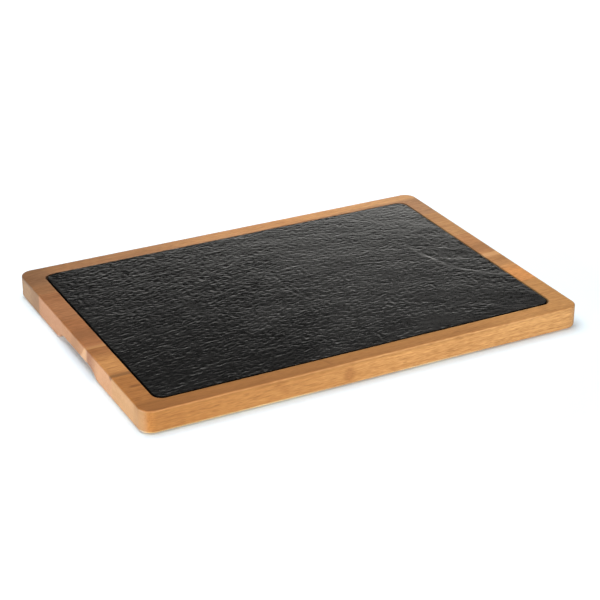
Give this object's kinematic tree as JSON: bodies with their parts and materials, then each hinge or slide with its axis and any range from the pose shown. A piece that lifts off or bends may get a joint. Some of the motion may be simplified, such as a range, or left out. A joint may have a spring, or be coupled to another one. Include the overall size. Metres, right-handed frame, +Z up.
{
  "type": "slate serving board",
  "caption": "Rectangular edge-glued hardwood serving board with a milled top pocket that holds a loose riven slate plate, rounded corners and a finger grip under each short end.",
  "frame": {"origin": "centre of the board's flat underside, on the surface it stands on", "axes": "+X along the board's length and the wood's grain, +Y from the front long side to the back, +Z up out of the slate"},
  "size_m": [0.36, 0.25, 0.0185],
  "materials": {
    "wood": "oiled honey-brown acacia, satin, grain along X",
    "slate": "riven black slate, oiled, dull sheen"
  },
  "bodies": {
    "board": {"front_stave": "wood", "front_middle_stave": "wood", "middle_stave": "wood", "back_middle_stave": "wood", "back_stave": "wood"},
    "slate": {"slate_plate": "slate"}
  },
  "joints": [
    {"name": "slate_lift", "type": "slide", "parent": "board", "child": "slate", "axis": [0, 0, 1], "range_m": [0, 0.04]}
  ]
}
